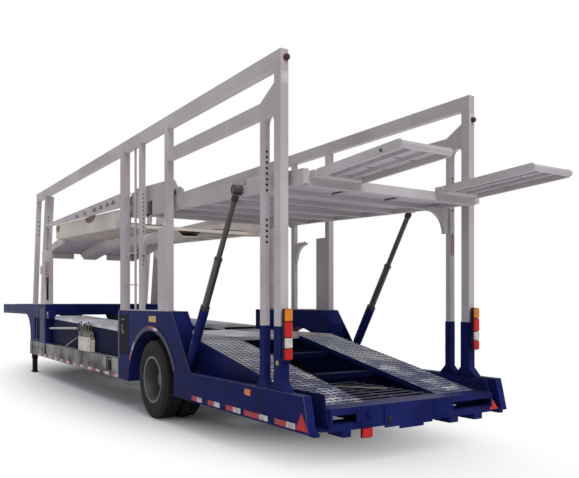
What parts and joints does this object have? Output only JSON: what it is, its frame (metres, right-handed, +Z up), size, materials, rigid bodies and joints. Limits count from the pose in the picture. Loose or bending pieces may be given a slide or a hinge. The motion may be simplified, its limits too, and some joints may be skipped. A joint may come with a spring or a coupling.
{
  "type": "car transporter semi-trailer",
  "caption": "Double-deck car-carrying semi-trailer with gooseneck, twin-wheel axle, loading ramps, hydraulic rear upper deck and folding tail flaps, parked on its landing legs.",
  "frame": {"origin": "on the ground, at the middle of the outer box", "axes": "+Y forward towards the kingpin, +X to the right, +Z up"},
  "size_m": [2.55, 14.7, 3.8],
  "materials": {
    "navy_paint": "glossy navy blue paint",
    "white_paint": "satin white paint, a little dusty",
    "silver_paint": "satin silver grey paint",
    "galvanised_tread": "galvanised, dull",
    "tyre_rubber": "matte black rubber",
    "rim_steel": "satin steel",
    "black_paint": "matte black paint",
    "cylinder_grey": "ground steel, dull"
  },
  "bodies": {
    "chassis": {"neck_frame": "navy_paint", "middle_frame": "navy_paint", "tail_frame": "navy_paint", "neck_plate": "navy_paint", "coupling_plate": "rim_steel", "hump_platform": "galvanised_tread", "rear_cross_beam": "navy_paint", "axle_beam": "black_paint", "neck_side_left": "navy_paint", "neck_side_right": "navy_paint", "side_box_left": "silver_paint", "side_box_right": "silver_paint", "fender_box_left": "navy_paint", "fender_box_right": "navy_paint", "lower_track_left": "galvanised_tread", "lower_track_right": "galvanised_tread", "rear_ramp_left": "galvanised_tread", "rear_ramp_right": "galvanised_tread", "rear_side_beam_left": "navy_paint", "rear_side_beam_right": "navy_paint", "leaf_spring_left": "black_paint", "leaf_spring_right": "black_paint", "landing_leg_left": "black_paint", "landing_leg_right": "black_paint", "top_rail_left": "white_paint", "top_rail_right": "white_paint", "rear_portal_left": "white_paint", "rear_portal_right": "white_paint", "mid_portal_left": "white_paint", "mid_portal_right": "white_paint", "front_portal_left": "white_paint", "front_portal_right": "white_paint"},
    "rear_deck": {"deck_frame": "white_paint", "deck_floor": "white_paint"},
    "front_deck": {"front_deck_frame": "white_paint", "front_deck_floor": "white_paint"},
    "wheel_left": {"twin_rim_left": "rim_steel", "tyre_left_inner": "tyre_rubber", "tyre_left_outer": "tyre_rubber"},
    "flap_left": {"tail_flap_left": "white_paint"},
    "barrel_left": {"cylinder_barrel_left": "navy_paint"},
    "stage_left": {"cylinder_stage_left": "cylinder_grey"},
    "rod_left": {"cylinder_rod_left": "cylinder_grey"},
    "wheel_right": {"twin_rim_right": "rim_steel", "tyre_right_inner": "tyre_rubber", "tyre_right_outer": "tyre_rubber"},
    "flap_right": {"tail_flap_right": "white_paint"},
    "barrel_right": {"cylinder_barrel_right": "navy_paint"},
    "stage_right": {"cylinder_stage_right": "cylinder_grey"},
    "rod_right": {"cylinder_rod_right": "cylinder_grey"}
  },
  "joints": [
    {"name": "rear_deck_tilt", "type": "hinge", "parent": "chassis", "child": "rear_deck", "pos_m": [0, -1.75, 2.85], "axis": [1, 0, 0], "range_deg": [0, 22]},
    {"name": "front_deck_tilt", "type": "hinge", "parent": "chassis", "child": "front_deck", "pos_m": [0, -1.55, 2.66], "axis": [1, 0, 0], "range_deg": [-5, 6]},
    {"name": "wheel_left_roll", "type": "hinge", "parent": "chassis", "child": "wheel_left", "pos_m": [-0.995, -2.87, 0.51], "axis": [1, 0, 0], "continuous": true},
    {"name": "flap_left_fold", "type": "hinge", "parent": "rear_deck", "child": "flap_left", "pos_m": [-0.785, -6.25, 2.65], "axis": [-1, 0, 0], "range_deg": [0, 105]},
    {"name": "barrel_left_swing", "type": "hinge", "parent": "chassis", "child": "barrel_left", "pos_m": [-1.207, -3.78, 0.57], "axis": [1, 0, 0], "range_deg": [-0.01, 16.96]},
    {"name": "stage_left_slide", "type": "slide", "parent": "barrel_left", "child": "stage_left", "axis": [0, -0.5252, 0.851], "range_m": [-0.576, 0]},
    {"name": "rod_left_slide", "type": "slide", "parent": "stage_left", "child": "rod_left", "axis": [0, -0.5252, 0.851], "range_m": [-0.5803, 0]},
    {"name": "wheel_right_roll", "type": "hinge", "parent": "chassis", "child": "wheel_right", "pos_m": [0.995, -2.87, 0.51], "axis": [1, 0, 0], "continuous": true},
    {"name": "flap_right_fold", "type": "hinge", "parent": "rear_deck", "child": "flap_right", "pos_m": [0.785, -6.25, 2.65], "axis": [-1, 0, 0], "range_deg": [0, 105]},
    {"name": "barrel_right_swing", "type": "hinge", "parent": "chassis", "child": "barrel_right", "pos_m": [1.207, -3.78, 0.57], "axis": [1, 0, 0], "range_deg": [-0.01, 16.96]},
    {"name": "stage_right_slide", "type": "slide", "parent": "barrel_right", "child": "stage_right", "axis": [0, -0.5252, 0.851], "range_m": [-0.576, 0]},
    {"name": "rod_right_slide", "type": "slide", "parent": "stage_right", "child": "rod_right", "axis": [0, -0.5252, 0.851], "range_m": [-0.5803, 0]}
  ],
  "couplings": [
    {"joint": "barrel_left_swing", "follows": "rear_deck_tilt", "ratio": 0.77081},
    {"joint": "stage_left_slide", "follows": "rear_deck_tilt", "m_per_rad": -1.4975},
    {"joint": "rod_left_slide", "follows": "rear_deck_tilt", "m_per_rad": -1.5088},
    {"joint": "barrel_right_swing", "follows": "rear_deck_tilt", "ratio": 0.77081},
    {"joint": "stage_right_slide", "follows": "rear_deck_tilt", "m_per_rad": -1.4975},
    {"joint": "rod_right_slide", "follows": "rear_deck_tilt", "m_per_rad": -1.5088}
  ]
}
